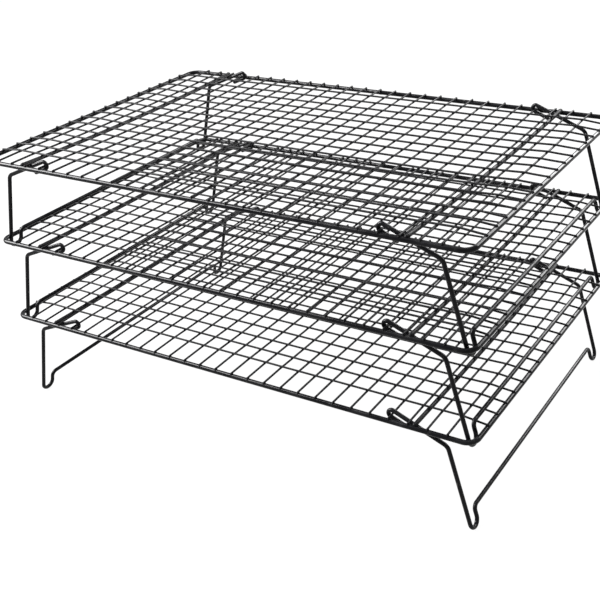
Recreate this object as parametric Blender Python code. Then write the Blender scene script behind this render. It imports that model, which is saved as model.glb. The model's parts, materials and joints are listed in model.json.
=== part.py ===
"""Three-tier wire cooling rack: three equal racks of welded wire, stacked on one another.

Each rack has a frame ring, two support rods, a grid of thin wires and two folding legs.
Units are metres and +Z is up. X runs along a rack, and the origin is the middle of the footprint.
"""

from math import asin, atan2, cos, pi, radians, sin, tan

import bmesh
import bpy
from mathutils import Matrix, Vector

# Overall size of one rack over its frame wire, and from the cross wires' centres to the floor.
LENGTH = 0.403
WIDTH = 0.255
LEG_HEIGHT = 0.0765
CORNER_RADIUS = 0.008

# Wire diameters.
FRAME_WIRE = 0.0035
GRID_WIRE = 0.0015
ROD_WIRE = 0.0030
LEG_WIRE = 0.0030

# The grid. The gaps next to the frame are wider than the pitch between the wires.
CROSS_COUNT = 27
LONG_COUNT = 16
SIDE_GAP = 0.01775
FRONT_GAP = 0.02075
PIVOT_WIRE = 3
WIRE_OVERRUN = 0.0005
DROP_RUN = 0.0040

# Fits. Pieces that only touch keep a gap, and the mat's welds sink into each other.
GAP = 0.0003
WELD_SINK = 0.0001
PIVOT_PLAY = 0.0004
ARM_PLAY = 0.00035

# The folding leg, one bent wire with a hairpin at each end and a foot at each lower corner.
STRAND_INSET = 0.0048
ROD_OFFSET = 0.0044
TAIL_LENGTH = 0.0130
BEND_RADIUS = 0.0060
LEG_LEAN = radians(14.5)
FOOT_INSET = 0.0043
FOOT_PLAY = 0.0037
CROSSBAR_RISE = 0.0135
CROSSBAR_RADIUS = 0.0040

TIERS = ("bottom", "middle", "top")
THIN_SIDES = 6
THICK_SIDES = 8
MERGE_DISTANCE = 0.00001

# A glossy black nonstick coating covers every wire. It is thicker and smoother on the legs.
COATING_COLOUR = (0.012, 0.012, 0.013, 1.0)
COATING_METALLIC = 0.0
COATING_ROUGHNESS = {"frame": 0.30, "grid": 0.35, "rod": 0.32, "leg": 0.26}

# Places on one rack, from its middle and from the height of its cross wires' centres.
SIDE_X = (LENGTH - FRAME_WIRE) / 2
FRONT_Y = (WIDTH - FRAME_WIRE) / 2
CROSS_PITCH = 2 * (SIDE_X - SIDE_GAP) / (CROSS_COUNT - 1)
LONG_PITCH = 2 * (FRONT_Y - FRONT_GAP) / (LONG_COUNT - 1)
FRAME_Z = -(GRID_WIRE + FRAME_WIRE) / 2 - GAP
LONG_Z = GRID_WIRE + GAP
EDGE_LONG_Z = GRID_WIRE - WELD_SINK
LONG_END_Z = FRAME_Z + (FRAME_WIRE + GRID_WIRE) / 2 + GAP
PIVOT_X = SIDE_X - SIDE_GAP - PIVOT_WIRE * CROSS_PITCH
ROD_X = PIVOT_X + CROSS_PITCH + ROD_OFFSET
ROD_Z = EDGE_LONG_Z - (GRID_WIRE + ROD_WIRE) / 2 - GAP
HAIRPIN_RADIUS = (GRID_WIRE + LEG_WIRE) / 2 + PIVOT_PLAY
FOOT_RADIUS = (FRONT_GAP - STRAND_INSET - (GRID_WIRE + LEG_WIRE) / 2 - FOOT_PLAY) / 2
CROSSBAR_Z = LEG_WIRE / 2 - LEG_HEIGHT + CROSSBAR_RISE
TIER_RISE = LONG_Z + GRID_WIRE / 2 + GAP + LEG_WIRE / 2 - CROSSBAR_Z

BACKWARD, UP = Vector((0, 1, 0)), Vector((0, 0, 1))


def clear_scene():
    for item in list(bpy.data.objects):
        bpy.data.objects.remove(item, do_unlink=True)


def coating(kind):
    material = bpy.data.materials.new(f"{kind}_coating")
    material.use_nodes = True
    shader = material.node_tree.nodes["Principled BSDF"]
    shader.inputs["Base Color"].default_value = COATING_COLOUR
    shader.inputs["Roughness"].default_value = COATING_ROUGHNESS[kind]
    shader.inputs["Metallic"].default_value = COATING_METALLIC
    return material


def finished_mesh(name, bm):
    mesh = bpy.data.meshes.new(name)
    bm.to_mesh(mesh)
    bm.free()
    return mesh


def onto_plane(point, direction, origin, normal):
    """Where the line through a point, along a direction, meets a plane."""
    return point + direction * ((origin - point).dot(normal) / direction.dot(normal))


def arc(centre, start, axis, angle, corners):
    """Corners of a bend, all on the straight runs that touch the round bend's centre line."""
    half = angle / (2 * corners)
    turns = [Matrix.Rotation(half * (2 * i + 1), 3, axis) for i in range(corners)]
    return [centre + turn @ start / cos(half) for turn in turns]


def fillet(before, corner, after, radius, corners):
    """Corners that replace one sharp corner of a path with a round one."""
    coming, leaving = (corner - before).normalized(), (after - corner).normalized()
    angle = coming.angle(leaving)
    inward = (leaving - coming * coming.dot(leaving)).normalized()
    centre = corner - coming * radius * tan(angle / 2) + inward * radius
    return arc(centre, -inward * radius, coming.cross(leaving).normalized(), angle, corners)


def wire_mesh(name, path, wire, sides, side_axis, turn=0.0, closed=False):
    """A wire along a path, with flat sides its diameter apart. One side faces the side axis."""
    count = len(path)
    runs = [(path[(i + 1) % count] - path[i]).normalized() for i in range(count)]
    mitres = [(runs[i - 1] + runs[i]).normalized() for i in range(count)]
    stops = list(range(1, count))
    if closed:
        stops.append(0)
    else:
        mitres[0], mitres[-1] = runs[0], runs[-2]

    section = Matrix((side_axis.cross(runs[0]), side_axis, runs[0])).transposed().to_4x4()
    section = Matrix.Translation(path[0]) @ section @ Matrix.Rotation(pi / sides + turn, 4, "Z")
    radius = wire / 2 / cos(pi / sides)
    bm = bmesh.new()
    bmesh.ops.create_circle(bm, segments=sides, radius=radius, matrix=section)
    for vert in bm.verts:
        vert.co = onto_plane(vert.co, runs[0], path[0], mitres[0])
    start = ring = bm.edges[:]
    for i in stops:
        grown = bmesh.ops.extrude_edge_only(bm, edges=ring)["geom"]
        ring = [item for item in grown if isinstance(item, bmesh.types.BMEdge)]
        for vert in {vert for edge in ring for vert in edge.verts}:
            vert.co = onto_plane(vert.co, runs[i - 1], path[i], mitres[i])
    if closed:
        bmesh.ops.remove_doubles(bm, verts=bm.verts, dist=MERGE_DISTANCE)
    else:
        bmesh.ops.edgeloop_fill(bm, edges=start)
        bmesh.ops.edgeloop_fill(bm, edges=ring)
    bmesh.ops.recalc_face_normals(bm, faces=bm.faces)
    return finished_mesh(name, bm)


def copies_mesh(name, mesh, places):
    """One mesh that holds a copy of another at each place."""
    bm = bmesh.new()
    for place in places:
        start = len(bm.verts)
        bm.from_mesh(mesh)
        bm.verts.ensure_lookup_table()
        bmesh.ops.translate(bm, verts=bm.verts[start:], vec=place)
    return finished_mesh(name, bm)


def mirrored_mesh(name, mesh):
    """The same piece for the left side of a rack."""
    bm = bmesh.new()
    bm.from_mesh(mesh)
    bmesh.ops.scale(bm, verts=bm.verts, vec=(-1, 1, 1))
    bmesh.ops.reverse_faces(bm, faces=bm.faces)
    return finished_mesh(name, bm)


def frame_mesh():
    signs = ((-1, -1), (1, -1), (1, 1), (-1, 1))
    corners = [Vector((x * SIDE_X, y * FRONT_Y, 0)) for x, y in signs]
    path = []
    for i, corner in enumerate(corners):
        path += fillet(corners[i - 1], corner, corners[(i + 1) % 4], CORNER_RADIUS, 4)
    return wire_mesh("frame", path, FRAME_WIRE, THICK_SIDES, UP, closed=True)


def cross_wire_mesh():
    """A cross wire, from over the front of the frame to over its back."""
    reach = BACKWARD * (FRONT_Y + WIRE_OVERRUN)
    return wire_mesh("cross_wire", [-reach, reach], GRID_WIRE, THIN_SIDES, UP)


def long_wire_mesh(name, drop):
    """A long wire, with each end dropped onto the frame by the given height."""
    end, foot = SIDE_X + WIRE_OVERRUN, SIDE_X - FRAME_WIRE / 2
    right = [Vector((end, 0, -drop)), Vector((foot, 0, -drop)), Vector((foot - DROP_RUN, 0, 0))]
    left = [Vector((-point.x, 0, point.z)) for point in reversed(right)]
    return wire_mesh(name, right + left, GRID_WIRE, THIN_SIDES, UP)


def rod_mesh(slope):
    """The right support rod, with one flat side facing the leg's arm below it."""
    reach = BACKWARD * (FRONT_Y - FRAME_WIRE / 2 - GAP)
    return wire_mesh("rod_right", [-reach, reach], ROD_WIRE, THICK_SIDES, UP, turn=slope)


def slope_under(wire_x, wire_z, wire, play):
    """Slope down of a leg's arm that starts over the pivot wire and just clears another wire."""
    reach = Vector((wire_x - PIVOT_X, wire_z))
    clear = HAIRPIN_RADIUS + (wire + LEG_WIRE) / 2 + play
    return asin(clear / reach.length) - atan2(reach.y, reach.x)


def arm_slope():
    """Slope down of a leg's arm, under the support rod that stops it and the next cross wire."""
    under_cross_wire = slope_under(PIVOT_X + CROSS_PITCH, 0, GRID_WIRE, ARM_PLAY)
    return max(slope_under(ROD_X, ROD_Z, ROD_WIRE, GAP), under_cross_wire)


def half_leg_path(slope):
    """The front half of the right leg, from its tail to its crossbar, about its pivot."""
    outward = Vector((cos(slope), 0, -sin(slope)))
    over = Vector((sin(slope), 0, cos(slope))) * HAIRPIN_RADIUS
    down = Vector((sin(LEG_LEAN), 0, -cos(LEG_LEAN)))
    leg_normal = BACKWARD.cross(down)
    strand = BACKWARD * (STRAND_INSET - FRONT_Y)
    to_foot = BACKWARD * FOOT_RADIUS

    foot = strand + to_foot
    foot += Vector((SIDE_X - FOOT_INSET - PIVOT_X, 0, LEG_WIRE / 2 - LEG_HEIGHT))
    foot_centre = foot - down * FOOT_RADIUS
    outer, inner = foot_centre - to_foot, foot_centre + to_foot
    bend = onto_plane(strand + over, outward, outer, leg_normal)
    crossbar = onto_plane(inner, down, UP * CROSSBAR_Z, UP)

    path = [strand - over + outward * TAIL_LENGTH]
    path += arc(strand, -over, BACKWARD, pi, 5)
    path += fillet(strand + over, bend, outer, BEND_RADIUS, 3)
    path += arc(foot_centre, -to_foot, leg_normal, -pi, 4)
    path += fillet(inner, crossbar, crossbar + BACKWARD, CROSSBAR_RADIUS, 3)
    return path


def leg_mesh(slope):
    """The right leg. Its section is turned by its lean, so that a flat side faces the floor."""
    front = half_leg_path(slope)
    back = [Vector((point.x, -point.y, point.z)) for point in reversed(front)]
    return wire_mesh("leg_right", front + back, LEG_WIRE, THICK_SIDES, BACKWARD, turn=LEG_LEAN)


def add_object(name, mesh, parent, place=(0, 0, 0)):
    item = bpy.data.objects.new(name, mesh)
    item.location = place
    item.parent = parent
    bpy.context.scene.collection.objects.link(item)
    return item


def add_mat(tier, rack, cross_wires, edge_wires):
    """The cross wires, welded together by the first and the last long wire."""
    mat = add_object(f"{tier}_mat", cross_wires, rack)
    edges = add_object(f"{tier}_mat_edges", edge_wires, rack)
    edges.hide_render = True
    edges.display_type = "WIRE"
    weld = mat.modifiers.new("weld", "BOOLEAN")
    weld.operation = "UNION"
    weld.solver = "EXACT"
    weld.object = edges


def main():
    clear_scene()
    slope = arm_slope()
    cross_xs = [(i - (CROSS_COUNT - 1) / 2) * CROSS_PITCH for i in range(CROSS_COUNT)]
    long_ys = [(i - (LONG_COUNT - 1) / 2) * LONG_PITCH for i in range(LONG_COUNT)]

    frame = frame_mesh()
    cross_wires = copies_mesh("cross_wires", cross_wire_mesh(), [(x, 0, 0) for x in cross_xs])
    edge_wire = long_wire_mesh("edge_wire", EDGE_LONG_Z - LONG_END_Z)
    edge_places = [(0, y, EDGE_LONG_Z) for y in (long_ys[0], long_ys[-1])]
    edge_wires = copies_mesh("edge_wires", edge_wire, edge_places)
    long_wire = long_wire_mesh("long_wire", LONG_Z - LONG_END_Z)
    rods = {"right": rod_mesh(slope)}
    rods["left"] = mirrored_mesh("rod_left", rods["right"])
    legs = {"right": leg_mesh(slope)}
    legs["left"] = mirrored_mesh("leg_left", legs["right"])

    meshes = {
        "frame": [frame],
        "grid": [cross_wires, edge_wires, long_wire],
        "rod": rods.values(),
        "leg": legs.values(),
    }
    for kind, coated in meshes.items():
        material = coating(kind)
        for mesh in coated:
            mesh.materials.append(material)
            mesh.shade_smooth()

    for level, tier in enumerate(TIERS):
        rack = add_object(f"{tier}_rack", None, None, (0, 0, LEG_HEIGHT + level * TIER_RISE))
        add_object(f"{tier}_frame", frame, rack, (0, 0, FRAME_Z))
        add_mat(tier, rack, cross_wires, edge_wires)
        for row, y in enumerate(long_ys[1:-1], start=2):
            add_object(f"{tier}_long_wire_{row:02d}", long_wire, rack, (0, y, LONG_Z))
        for side, sign in (("left", -1), ("right", 1)):
            add_object(f"{tier}_rod_{side}", rods[side], rack, (sign * ROD_X, 0, ROD_Z))
            add_object(f"{tier}_leg_{side}", legs[side], rack, (sign * PIVOT_X, 0, 0))


main()
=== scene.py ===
"""Three-tier wire cooling rack: smooth wires, welds, black coating, pale floor, light and camera."""

import json
from math import asin, atan2, cos, pi, radians, sin, tan

import bmesh
import bpy
from mathutils import Euler, Matrix, Vector


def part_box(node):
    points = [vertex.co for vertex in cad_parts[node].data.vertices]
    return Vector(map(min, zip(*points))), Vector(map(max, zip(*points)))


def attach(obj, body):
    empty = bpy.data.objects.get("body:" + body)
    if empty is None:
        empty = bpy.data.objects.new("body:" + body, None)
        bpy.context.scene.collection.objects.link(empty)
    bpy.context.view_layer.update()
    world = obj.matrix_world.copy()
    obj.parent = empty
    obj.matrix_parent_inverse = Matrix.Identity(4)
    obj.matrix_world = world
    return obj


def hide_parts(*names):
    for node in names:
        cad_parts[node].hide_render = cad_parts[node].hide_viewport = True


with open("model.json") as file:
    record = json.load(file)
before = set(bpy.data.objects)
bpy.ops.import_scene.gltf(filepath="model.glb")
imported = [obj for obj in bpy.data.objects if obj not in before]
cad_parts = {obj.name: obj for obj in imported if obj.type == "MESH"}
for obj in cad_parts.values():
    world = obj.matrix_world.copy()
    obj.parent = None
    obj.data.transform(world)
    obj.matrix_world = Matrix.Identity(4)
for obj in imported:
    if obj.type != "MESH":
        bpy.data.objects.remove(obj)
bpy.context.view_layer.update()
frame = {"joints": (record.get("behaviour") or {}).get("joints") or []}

TIERS = ("bottom", "middle", "top")
SIDES = (("left", -1), ("right", 1))
BACKWARD, UP = Vector((0, 1, 0)), Vector((0, 0, 1))

# Wire diameters, the frame's corners and the counts of the grid.
GRID_WIRE = 0.0015
ROD_WIRE = 0.0030
LEG_WIRE = 0.0030
CORNER_RADIUS = 0.0080
CROSS_COUNT = 27
PIVOT_WIRE = 3
FIRST_LONG, LAST_LONG = 2, 15

# How the finished wires sit over their rack's level. They are sunk into each other at their welds,
# and the grids sag between the sides.
CROSS_RISE = 0.0002
CROSS_END_RISE = -0.0004
LONG_RISE = 0.0014
LONG_END_RISE = -0.0007
ROD_RISE = 0.0003
WIRE_OVERRUN = 0.0005
DIP_RUN = 0.0190
DROP_RUN = 0.0172
DROP_END = 0.0006
SAG = {"bottom": 0.0016, "middle": 0.0023, "top": 0.0030}
SAG_FLATNESS = 8

# The folding leg, as the frame's leg is bent, with its crossbar settled onto the wires below it.
PIVOT_PLAY = 0.0004
HAIRPIN_RADIUS = (GRID_WIRE + LEG_WIRE) / 2 + PIVOT_PLAY
STRAND_INSET = 0.0048
TAIL_LENGTH = 0.0115
BEND_RADIUS = 0.0060
LEG_LEAN = radians(14.5)
FOOT_INSET = 0.0043
FOOT_RADIUS = 0.0050
CROSSBAR_RISE = 0.0135
CROSSBAR_RADIUS = 0.0040
CROSSBAR_SETTLE = 0.0016
STOP_GAP = 0.0003

# The butt weld in the back of a frame: the corner before it, places along it, and the swell there.
BUTT_AFTER_CORNER = 2
BUTT_XS = (0.0016, 0.0008, 0.0, -0.0008, -0.0016)
BUTT_SWELL = (1.0, 1.07, 1.1, 1.07, 1.0)

# Half sizes of the drops of coating at the welds.
WELD_DROP = (0.00105, 0.00105, 0.00085)
END_DROP = (0.00100, 0.00150, 0.00075)
ROD_DROP = (0.00185, 0.00110, 0.00170)

# Smoothness: sides round a wire, steps along it and near its ends, and steps round a bend.
THIN_SIDES = 10
THICK_SIDES = 20
CROSS_STEPS, CROSS_END_STEPS = 14, 8
LONG_STEPS, LONG_END_STEPS = 26, 10
ROD_STEPS, ROD_END_STEPS = 14, 4
CORNER_STEPS = 14
LOOP_STEPS = 18
BEND_STEPS = 8
TIP_ANGLES = (25, 50, 72)
DROP_SEGMENTS, DROP_RINGS = 8, 5
MERGE_DISTANCE = 0.00001

# The enamel. A noise is its scale and its detail, and a range is where it goes from none to all.
DEEP_BLACK = (0.0016, 0.0016, 0.0022)
SOFT_BLACK = (0.0052, 0.0052, 0.0060)
SCUFF_GREY = (0.050, 0.049, 0.047)
MOTTLE_NOISE, MOTTLE_RANGE = (70, 4), (0.35, 0.68)
SCUFF_NOISE, SCUFF_RANGE = (150, 5), (0.62, 0.80)
FLECK_NOISE, FLECK_RANGE = (900, 2), (0.46, 0.66)
PEEL_NOISE = (1500, 3)
PEEL_STRENGTH = 0.35
PEEL_DEPTH = 0.00008
MOTTLE_SMOOTHER, MOTTLE_ROUGHER = -0.05, 0.08
SCUFF_ROUGHNESS = 0.22
CHIP_HEIGHT = -0.8
ENAMEL_IOR = 1.19

# Roughness and wear of the enamel on each kind of wire.
FINISHES = {"frame": (0.20, 0.03), "grid": (0.48, 0.06), "rod": (0.50, 0.0), "leg": (0.24, 0.02)}

# The studio. A softbox has a compass angle, a height angle, a distance, a width, a height and a power.
FLOOR_HALF = 6.0
FLOOR_GAP = 0.0002
FLOOR_COLOUR = (0.035, 0.035, 0.035, 1)
FLOOR_ROUGHNESS = 0.9
FLOOR_GLOW = 0.95
WHITE = (1, 1, 1, 1)
WORLD_STRENGTH = 0.80
LOOK_AT = Vector((0, 0, 0.1))
SOFTBOXES = {
    "rim": (166, 31, 1.7, 1.30, 0.60, 54),
    "left": (292, 38, 1.6, 0.75, 1.20, 120),
    "top": (0, 88, 1.6, 1.20, 1.20, 6),
}
CAMERA_PLACE = (0.4240, -0.6021, 0.4579)
CAMERA_TURN = 32.429
CAMERA_DOWN = 25.647
CAMERA_ROLL = -3.893
LENS = 62.10
SENSOR = 36.0
SHIFT = (-0.0886, -0.0705)


# Places taken from the frame


def middle(node):
    low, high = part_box(node)
    return (low + high) / 2


def level_of(tier):
    """Height of a rack's cross wires, which is the height of its legs' pivots."""
    return JOINTS[f"{tier}_right_fold"]["pos_m"][2]


JOINTS = {joint["name"]: joint for joint in frame["joints"]}
frame_lo, frame_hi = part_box("top_frame")
FRAME_WIRE = frame_hi.z - frame_lo.z
SIDE_X = frame_hi.x - FRAME_WIRE / 2
FRONT_Y = frame_hi.y - FRAME_WIRE / 2
PIVOT_X = JOINTS["top_right_fold"]["pos_m"][0]
CROSS_PITCH = PIVOT_X / ((CROSS_COUNT - 1) / 2 - PIVOT_WIRE)
CROSS_XS = [(i - (CROSS_COUNT - 1) / 2) * CROSS_PITCH for i in range(CROSS_COUNT)]
LONG_YS = {row: middle(f"top_long_wire_{row:02d}").y for row in range(FIRST_LONG, LAST_LONG + 1)}
LONG_PITCH = LONG_YS[FIRST_LONG + 1] - LONG_YS[FIRST_LONG]
EDGE_YS = (LONG_YS[FIRST_LONG] - LONG_PITCH, LONG_YS[LAST_LONG] + LONG_PITCH)
ROW_YS = (*EDGE_YS, *LONG_YS.values())
ROD_X = middle("top_rod_right").x
ROD_WELD_Y = FRONT_Y - FRAME_WIRE / 2
FRAME_RISE = middle("top_frame").z - level_of("top")
ROD_CAD_RISE = middle("top_rod_right").z - level_of("top")
LEG_HEIGHT = level_of("bottom")


# Paths


def sag(tier, x, y):
    """How far a grid has come down between its front and its back under years of trays."""
    along = 1 - min(abs(x) / SIDE_X, 1) ** SAG_FLATNESS
    return SAG[tier] * along * (1 - (y / FRONT_Y) ** 2)


def share(value):
    """The value, kept between none and all."""
    return min(max(value, 0), 1)


def mirrored_steps(reach, run, coarse, fine):
    """Even places along a wire, closer together within a run of each end."""
    inner = reach - run
    half = [inner * i / coarse for i in range(coarse)] + [inner + run * i / fine for i in range(fine + 1)]
    return [-value for value in reversed(half[1:])] + half


def arc(centre, start, axis, angle, corners):
    half = angle / (2 * corners)
    turns = [Matrix.Rotation(half * (2 * i + 1), 3, axis) for i in range(corners)]
    return [centre + turn @ start / cos(half) for turn in turns]


def fillet(before, corner, after, radius, corners):
    coming, leaving = (corner - before).normalized(), (after - corner).normalized()
    angle = coming.angle(leaving)
    inward = (leaving - coming * coming.dot(leaving)).normalized()
    centre = corner - coming * radius * tan(angle / 2) + inward * radius
    return arc(centre, -inward * radius, coming.cross(leaving).normalized(), angle, corners)


def onto_plane(point, direction, origin, normal):
    """Where the line through a point, along a direction, meets a plane."""
    return point + direction * ((origin - point).dot(normal) / direction.dot(normal))


def cross_wire_path(tier, x):
    """A wire from the front to the back, that dips onto the frame at both ends."""
    level, path = level_of(tier), []
    for y in mirrored_steps(FRONT_Y + WIRE_OVERRUN, DIP_RUN, CROSS_STEPS, CROSS_END_STEPS):
        dip = share((abs(y) - (FRONT_Y - DIP_RUN)) / (DIP_RUN - FRAME_WIRE / 4))
        rise = CROSS_RISE + (CROSS_END_RISE - CROSS_RISE) * dip - sag(tier, x, y)
        path.append(Vector((x, y, level + rise)))
    return path


def long_wire_path(tier, y):
    """A wire along the rack, that drops from its outermost cross wires onto the frame."""
    level, path = level_of(tier), []
    for x in mirrored_steps(SIDE_X + WIRE_OVERRUN, DROP_RUN + WIRE_OVERRUN, LONG_STEPS, LONG_END_STEPS):
        drop = share((abs(x) - (SIDE_X - DROP_RUN)) / (DROP_RUN - DROP_END))
        rise = LONG_RISE + (LONG_END_RISE - LONG_RISE) * drop - sag(tier, x, y)
        path.append(Vector((x, y, level + rise)))
    return path


def rod_path(tier, sign):
    height = level_of(tier) + ROD_CAD_RISE + ROD_RISE
    steps = mirrored_steps(FRONT_Y - FRAME_WIRE / 4, DIP_RUN, ROD_STEPS, ROD_END_STEPS)
    return [Vector((sign * ROD_X, y, height - sag(tier, ROD_X, y))) for y in steps]


def frame_path(level):
    """The ring, with a few close points at the butt weld in the middle of its back."""
    signs = ((-1, -1), (1, -1), (1, 1), (-1, 1))
    corners = [Vector((x * SIDE_X, y * FRONT_Y, level + FRAME_RISE)) for x, y in signs]
    path = []
    for i, corner in enumerate(corners):
        path += fillet(corners[i - 1], corner, corners[(i + 1) % 4], CORNER_RADIUS, CORNER_STEPS)
        if i == BUTT_AFTER_CORNER:
            path += [Vector((x, FRONT_Y, corner.z)) for x in BUTT_XS]
    return path


def arm_slope():
    """Slope down of a leg's arm, from over the pivot wire to just under the support rod."""
    reach = Vector((ROD_X - PIVOT_X, ROD_CAD_RISE))
    clear = HAIRPIN_RADIUS + (ROD_WIRE + LEG_WIRE) / 2 + STOP_GAP
    return asin(clear / reach.length) - atan2(reach.y, reach.x)


def leg_path():
    """The whole right leg, from its front tail to its back one, about its pivot."""
    slope = arm_slope()
    outward = Vector((cos(slope), 0, -sin(slope)))
    over = Vector((sin(slope), 0, cos(slope))) * HAIRPIN_RADIUS
    down = Vector((sin(LEG_LEAN), 0, -cos(LEG_LEAN)))
    leg_normal = BACKWARD.cross(down)
    strand = BACKWARD * (STRAND_INSET - FRONT_Y)
    to_foot = BACKWARD * FOOT_RADIUS

    foot = strand + to_foot
    foot += Vector((SIDE_X - FOOT_INSET - PIVOT_X, 0, LEG_WIRE / 2 - LEG_HEIGHT))
    foot_centre = foot - down * FOOT_RADIUS
    outer, inner = foot_centre - to_foot, foot_centre + to_foot
    bend = onto_plane(strand + over, outward, outer, leg_normal)
    crossbar_height = foot.z + CROSSBAR_RISE - CROSSBAR_SETTLE
    crossbar = onto_plane(inner, down, UP * crossbar_height, UP)

    front = [strand - over + outward * TAIL_LENGTH]
    front += arc(strand, -over, BACKWARD, pi, LOOP_STEPS)
    front += fillet(strand + over, bend, outer, BEND_RADIUS, BEND_STEPS)
    front += arc(foot_centre, -to_foot, leg_normal, -pi, LOOP_STEPS)
    front += fillet(inner, crossbar, crossbar + BACKWARD, CROSSBAR_RADIUS, BEND_STEPS)
    return front + [Vector((point.x, -point.y, point.z)) for point in reversed(front)]


# Wires


def with_round_tips(path, radius):
    """The path with a dome past each end, and the radius at each of its points."""
    start, end = (path[0] - path[1]).normalized(), (path[-1] - path[-2]).normalized()
    tips = [(sin(radians(angle)), cos(radians(angle))) for angle in TIP_ANGLES]
    points = [path[0] + start * radius * out for out, _ in reversed(tips)]
    points += path + [path[-1] + end * radius * out for out, _ in tips]
    narrow = [radius * size for _, size in tips]
    return points, narrow[::-1] + [radius] * len(path) + narrow


def sweep(bm, points, radii, sides, side_axis, closed=False):
    """A round wire through the points, with a ring of the given radius square to it at each."""
    count = len(points)
    runs = [(points[(i + 1) % count] - points[i]).normalized() for i in range(count)]
    mitres = [(runs[i - 1] + runs[i]).normalized() for i in range(count)]
    stops = list(range(1, count))
    if closed:
        stops.append(0)
    else:
        mitres[0], mitres[-1] = runs[0], runs[-2]
    section = Matrix((side_axis, runs[0].cross(side_axis), runs[0])).transposed().to_4x4()
    section = Matrix.Translation(points[0]) @ section
    made = bmesh.ops.create_circle(bm, segments=sides, radius=radii[0], matrix=section)
    for vert in made["verts"]:
        vert.co = onto_plane(vert.co, runs[0], points[0], mitres[0])
    start = ring = list(dict.fromkeys(edge for vert in made["verts"] for edge in vert.link_edges))
    for i in stops:
        swell = radii[i] / radii[i - 1]
        grown = bmesh.ops.extrude_edge_only(bm, edges=ring)["geom"]
        ring = [item for item in grown if isinstance(item, bmesh.types.BMEdge)]
        for vert in {vert for edge in ring for vert in edge.verts}:
            placed = onto_plane(vert.co, runs[i - 1], points[i], mitres[i])
            vert.co = points[i] + (placed - points[i]) * swell
    if closed:
        bmesh.ops.remove_doubles(bm, verts=bm.verts, dist=MERGE_DISTANCE)
    else:
        bmesh.ops.edgeloop_fill(bm, edges=start)
        bmesh.ops.edgeloop_fill(bm, edges=ring)


def add_wire(bm, path, wire, sides, side_axis):
    points, radii = with_round_tips(path, wire / 2)
    sweep(bm, points, radii, sides, side_axis)


def add_drops(bm, places, size, turn=0.0):
    """Small drops of coating that fill the corners at the welds."""
    shape = Matrix.Rotation(turn, 4, "Z") @ Matrix.Diagonal((*size, 1))
    ball = bmesh.new()
    bmesh.ops.create_uvsphere(
        ball, u_segments=DROP_SEGMENTS, v_segments=DROP_RINGS, radius=1, matrix=shape
    )
    drop = bpy.data.meshes.new("drop")
    ball.to_mesh(drop)
    ball.free()
    at = Vector((0, 0, 0))
    for place in places:
        drop.transform(Matrix.Translation(Vector(place) - at))
        at = Vector(place)
        bm.from_mesh(drop)
    bpy.data.meshes.remove(drop)


def add_piece(name, bm, body, node, slot):
    """A finished piece that rides on a body and stands for one node of the frame."""
    bmesh.ops.recalc_face_normals(bm, faces=bm.faces)
    mesh = bpy.data.meshes.new(name)
    bm.to_mesh(mesh)
    bm.free()
    mesh.shade_smooth()
    mesh.materials.append(COATINGS[slot])
    piece = bpy.data.objects.new(name, mesh)
    bpy.context.scene.collection.objects.link(piece)
    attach(piece, body)
    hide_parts(node)


# Coating


def ramp(tree, factor, limits, from_value=0.0, to_value=1.0):
    """A number that goes from one value to another as the factor goes between the limits."""
    node = tree.nodes.new("ShaderNodeMapRange")
    node.interpolation_type = "SMOOTHSTEP"
    node.inputs["From Min"].default_value, node.inputs["From Max"].default_value = limits
    node.inputs["To Min"].default_value = from_value
    node.inputs["To Max"].default_value = to_value
    tree.links.new(factor, node.inputs["Value"])
    return node.outputs["Result"]


def noise(tree, coordinates, scale, detail):
    node = tree.nodes.new("ShaderNodeTexNoise")
    node.inputs["Scale"].default_value = scale
    node.inputs["Detail"].default_value = detail
    tree.links.new(coordinates, node.inputs["Vector"])
    return node.outputs["Fac"]


def combined(tree, operation, first, second):
    """Two numbers added or multiplied, each either a number or another node's output."""
    node = tree.nodes.new("ShaderNodeMath")
    node.operation = operation
    for socket, value in zip(node.inputs, (first, second)):
        if isinstance(value, float):
            socket.default_value = value
        else:
            tree.links.new(value, socket)
    return node.outputs["Value"]


def mixed(tree, factor, first, second):
    """A colour between two, each either a colour or another node's output."""
    node = tree.nodes.new("ShaderNodeMix")
    node.data_type = "RGBA"
    tree.links.new(factor, node.inputs["Factor"])
    for socket, value in ((node.inputs[6], first), (node.inputs[7], second)):
        if isinstance(value, tuple):
            socket.default_value = (*value, 1)
        else:
            tree.links.new(value, socket)
    return node.outputs[2]


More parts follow.
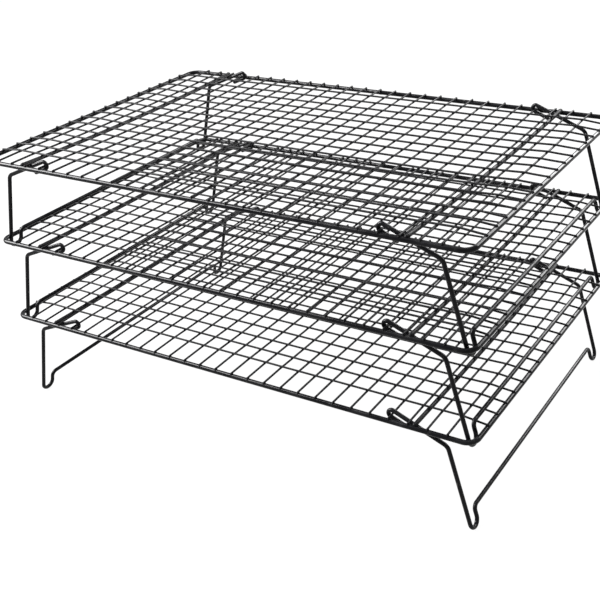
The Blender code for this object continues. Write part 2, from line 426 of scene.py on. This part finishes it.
def coating(kind, roughness, wear):
    """Black nonstick enamel: mottled gloss, fine orange peel, grey scuffs in scattered patches."""
    material = bpy.data.materials.new(f"{kind}_enamel")
    material.use_nodes = True
    tree = material.node_tree
    shader = tree.nodes["Principled BSDF"]
    place = tree.nodes.new("ShaderNodeTexCoord").outputs["Object"]

    mottle = ramp(tree, noise(tree, place, *MOTTLE_NOISE), MOTTLE_RANGE)
    scuff_range = [limit - wear for limit in SCUFF_RANGE]
    scuff = ramp(tree, noise(tree, place, *SCUFF_NOISE), scuff_range)
    fleck = ramp(tree, noise(tree, place, *FLECK_NOISE), FLECK_RANGE)
    worn = combined(tree, "MULTIPLY", scuff, fleck)
    black = mixed(tree, mottle, DEEP_BLACK, SOFT_BLACK)
    tree.links.new(mixed(tree, worn, black, SCUFF_GREY), shader.inputs["Base Color"])

    mottled = ramp(tree, mottle, (0.0, 1.0), roughness + MOTTLE_SMOOTHER, roughness + MOTTLE_ROUGHER)
    scratched = combined(tree, "MULTIPLY", worn, SCUFF_ROUGHNESS)
    tree.links.new(combined(tree, "ADD", mottled, scratched), shader.inputs["Roughness"])
    shader.inputs["IOR"].default_value = ENAMEL_IOR

    peel = tree.nodes.new("ShaderNodeBump")
    peel.inputs["Strength"].default_value = PEEL_STRENGTH
    peel.inputs["Distance"].default_value = PEEL_DEPTH
    chips = combined(tree, "MULTIPLY", worn, CHIP_HEIGHT)
    height = combined(tree, "ADD", noise(tree, place, *PEEL_NOISE), chips)
    tree.links.new(height, peel.inputs["Height"])
    tree.links.new(peel.outputs["Normal"], shader.inputs["Normal"])
    return material


# Pieces


def add_frame_ring(tier):
    points = frame_path(level_of(tier))
    radii = [FRAME_WIRE / 2] * len(points)
    butt = (BUTT_AFTER_CORNER + 1) * CORNER_STEPS
    for i, swell in enumerate(BUTT_SWELL):
        radii[butt + i] *= swell
    bm = bmesh.new()
    sweep(bm, points, radii, THICK_SIDES, UP, closed=True)
    add_piece(f"{tier}_frame_ring", bm, f"{tier}_rack", f"{tier}_frame", "frame_coating")


def add_mat(tier):
    """The cross wires, the two edge wires and the welds that join the whole grid."""
    bm = bmesh.new()
    for x in CROSS_XS:
        add_wire(bm, cross_wire_path(tier, x), GRID_WIRE, THIN_SIDES, UP)
    for y in EDGE_YS:
        add_wire(bm, long_wire_path(tier, y), GRID_WIRE, THIN_SIDES, UP)
    weld = level_of(tier) + (CROSS_RISE + LONG_RISE) / 2
    add_drops(bm, [(x, y, weld - sag(tier, x, y)) for x in CROSS_XS for y in ROW_YS], WELD_DROP)
    end = level_of(tier) + FRAME_RISE + FRAME_WIRE / 2
    add_drops(bm, [(x, y, end) for x in CROSS_XS for y in (-FRONT_Y, FRONT_Y)], END_DROP)
    add_drops(bm, [(x, y, end) for x in (-SIDE_X, SIDE_X) for y in ROW_YS], END_DROP, pi / 2)
    add_piece(f"{tier}_grid_mat", bm, f"{tier}_rack", f"{tier}_mat", "grid_coating")


def add_long_wire(tier, row):
    bm = bmesh.new()
    add_wire(bm, long_wire_path(tier, LONG_YS[row]), GRID_WIRE, THIN_SIDES, UP)
    node = f"{tier}_long_wire_{row:02d}"
    add_piece(f"{tier}_grid_wire_{row:02d}", bm, f"{tier}_rack", node, "grid_coating")


def add_rod(tier, side, sign):
    """A support rod, welded to the frame at its ends and to every long wire over it."""
    bm = bmesh.new()
    path = rod_path(tier, sign)
    add_wire(bm, path, ROD_WIRE, THICK_SIDES, UP)
    x, height = path[0].x, path[0].z
    add_drops(bm, [(x, y, height) for y in (-ROD_WELD_Y, ROD_WELD_Y)], ROD_DROP)
    rod_top = ROD_CAD_RISE + ROD_RISE + ROD_WIRE / 2
    weld = level_of(tier) + (rod_top + LONG_RISE - GRID_WIRE / 2) / 2
    add_drops(bm, [(x, y, weld - sag(tier, x, y)) for y in ROW_YS], WELD_DROP)
    add_piece(f"{tier}_support_{side}", bm, f"{tier}_rack", f"{tier}_rod_{side}", "rod_coating")


def add_leg(tier, side, sign):
    bm = bmesh.new()
    add_wire(bm, leg_path(), LEG_WIRE, THICK_SIDES, BACKWARD)
    bmesh.ops.scale(bm, verts=bm.verts, vec=(sign, 1, 1))
    bmesh.ops.translate(bm, verts=bm.verts, vec=(sign * PIVOT_X, 0, level_of(tier)))
    add_piece(f"{tier}_folding_leg_{side}", bm, f"{tier}_{side}_leg", f"{tier}_leg_{side}", "leg_coating")


# Floor, light and camera


def add_floor():
    bm = bmesh.new()
    bmesh.ops.create_grid(bm, x_segments=1, y_segments=1, size=FLOOR_HALF)
    bmesh.ops.translate(bm, verts=bm.verts, vec=(0, 0, -FLOOR_GAP))
    mesh = bpy.data.meshes.new("floor")
    bm.to_mesh(mesh)
    bm.free()
    material = bpy.data.materials.new("pale_floor")
    material.use_nodes = True
    shader = material.node_tree.nodes["Principled BSDF"]
    shader.inputs["Base Color"].default_value = FLOOR_COLOUR
    shader.inputs["Roughness"].default_value = FLOOR_ROUGHNESS
    shader.inputs["Specular IOR Level"].default_value = 0.0
    shader.inputs["Emission Color"].default_value = WHITE
    shader.inputs["Emission Strength"].default_value = FLOOR_GLOW
    mesh.materials.append(material)
    floor = bpy.data.objects.new("floor", mesh)
    bpy.context.scene.collection.objects.link(floor)


def add_softbox(name, azimuth, elevation, distance, width, height, power):
    """A soft rectangular light that faces the rack from a compass angle round it."""
    lamp = bpy.data.lights.new(name, "AREA")
    lamp.shape = "RECTANGLE"
    lamp.size, lamp.size_y = width, height
    lamp.energy = power
    around, above = radians(azimuth), radians(elevation)
    back = Vector((sin(around) * cos(above), -cos(around) * cos(above), sin(above)))
    item = bpy.data.objects.new(name, lamp)
    item.location = LOOK_AT + back * distance
    item.rotation_euler = back.to_track_quat("Z", "Y").to_euler()
    bpy.context.scene.collection.objects.link(item)


def add_world():
    world = bpy.data.worlds.new("studio")
    bpy.context.scene.world = world
    world.use_nodes = True
    background = world.node_tree.nodes["Background"]
    background.inputs["Color"].default_value = WHITE
    background.inputs["Strength"].default_value = WORLD_STRENGTH


def add_camera():
    """The camera by its place, its compass angle, its height angle and its small roll."""
    lens = bpy.data.cameras.new("camera")
    lens.lens = LENS
    lens.sensor_width = SENSOR
    lens.shift_x, lens.shift_y = SHIFT
    camera = bpy.data.objects.new("camera", lens)
    camera.location = CAMERA_PLACE
    turn = Euler((pi / 2 - radians(CAMERA_DOWN), 0, radians(CAMERA_TURN))).to_matrix()
    roll = Matrix.Rotation(radians(CAMERA_ROLL), 3, "Z")
    camera.rotation_euler = (turn @ roll).to_euler()
    bpy.context.scene.collection.objects.link(camera)
    bpy.context.scene.camera = camera


COATINGS = {f"{kind}_coating": coating(kind, *finish) for kind, finish in FINISHES.items()}

for tier in TIERS:
    add_frame_ring(tier)
    add_mat(tier)
    for row in LONG_YS:
        add_long_wire(tier, row)
    for side, sign in SIDES:
        add_rod(tier, side, sign)
        add_leg(tier, side, sign)

add_floor()
for name, settings in SOFTBOXES.items():
    add_softbox(name, *settings)
add_world()
add_camera()
bpy.context.scene.view_settings.view_transform = "Standard"

bpy.context.view_layer.update()
